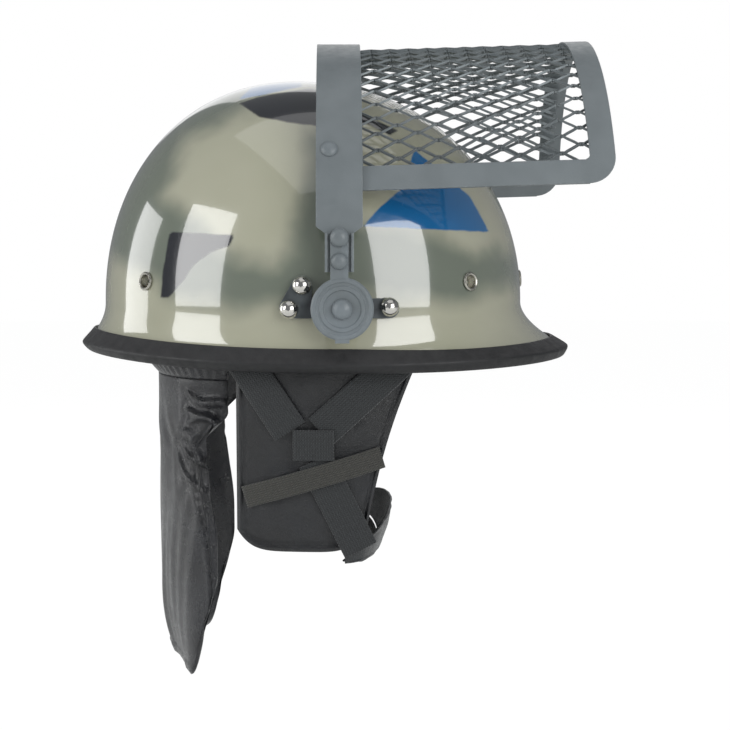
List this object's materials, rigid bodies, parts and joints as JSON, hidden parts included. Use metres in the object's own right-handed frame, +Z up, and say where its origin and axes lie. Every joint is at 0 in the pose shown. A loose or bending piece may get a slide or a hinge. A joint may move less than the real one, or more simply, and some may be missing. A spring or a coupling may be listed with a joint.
{
  "type": "camouflage riot helmet",
  "caption": "Flared camouflage helmet with a raised pivoting mesh visor, rubber brim trim, leatherette neck guard, ear flaps and a strapped chin cup.",
  "frame": {"origin": "centre of the head opening inside the headband, level with the visor pivots", "axes": "+Z up out of the crown, -Y the way the wearer faces, -X the wearer's right"},
  "size_m": [0.2668, 0.308, 0.3752],
  "materials": {
    "camouflage_shell": "gloss, camouflage paint",
    "rubber_trim": "matte",
    "eyelet_metal": "satin",
    "liner_foam": "matte bead foam",
    "pad_fabric": "soft cloth",
    "webbing": "woven webbing",
    "elastic": "woven elastic",
    "headband_plastic": "satin",
    "sweatband_leather": "grained",
    "dark_steel": "satin",
    "bolt_steel": "satin",
    "chrome_nut": "polished",
    "grey_paint": "semi-gloss",
    "mesh_steel": "semi-gloss",
    "leatherette": "glossy, wrinkled",
    "flap_cloth": "satin, padded",
    "slider_plastic": "satin",
    "cup_leather": "satin"
  },
  "bodies": {
    "helmet": {"shell": "camouflage_shell", "edge_trim": "rubber_trim", "vent_eyelets": "eyelet_metal", "impact_liner": "liner_foam", "crown_pad": "pad_fabric", "crown_straps": "webbing", "headband": "headband_plastic", "sweatband": "sweatband_leather", "headband_clips": "headband_plastic", "mounting_plate_right": "dark_steel", "mounting_plate_left": "dark_steel", "plate_bolts": "bolt_steel", "dome_nuts": "chrome_nut", "pivot_spacers": "dark_steel", "pivot_bolts": "bolt_steel", "neck_hem": "leatherette", "ear_flap_right": "flap_cloth", "ear_flap_left": "flap_cloth", "front_strap_right": "webbing", "front_strap_left": "webbing", "rear_strap_right": "webbing", "rear_strap_left": "webbing", "elastic_strap_right": "elastic", "elastic_strap_left": "elastic", "strap_slider_right": "slider_plastic", "strap_slider_left": "slider_plastic", "chin_strap_right": "webbing", "chin_strap_left": "webbing", "chin_cup": "cup_leather", "chin_cup_strap": "webbing"},
    "visor": {"visor_arm_right": "grey_paint", "visor_arm_left": "grey_paint", "arm_rivets": "grey_paint", "visor_band": "grey_paint", "visor_frame": "grey_paint", "frame_rivets": "grey_paint", "visor_mesh": "mesh_steel"},
    "neck_guard": {"neck_guard": "leatherette"}
  },
  "joints": [
    {"name": "visor_tilt", "type": "hinge", "parent": "helmet", "child": "visor", "pos_m": [0, -0.0155, 0], "axis": [1, 0, 0], "range_deg": [0, 90]},
    {"name": "neck_guard_swing", "type": "hinge", "parent": "helmet", "child": "neck_guard", "pos_m": [0, 0.0975, -0.042], "axis": [1, 0, 0], "range_deg": [0, 40]}
  ]
}
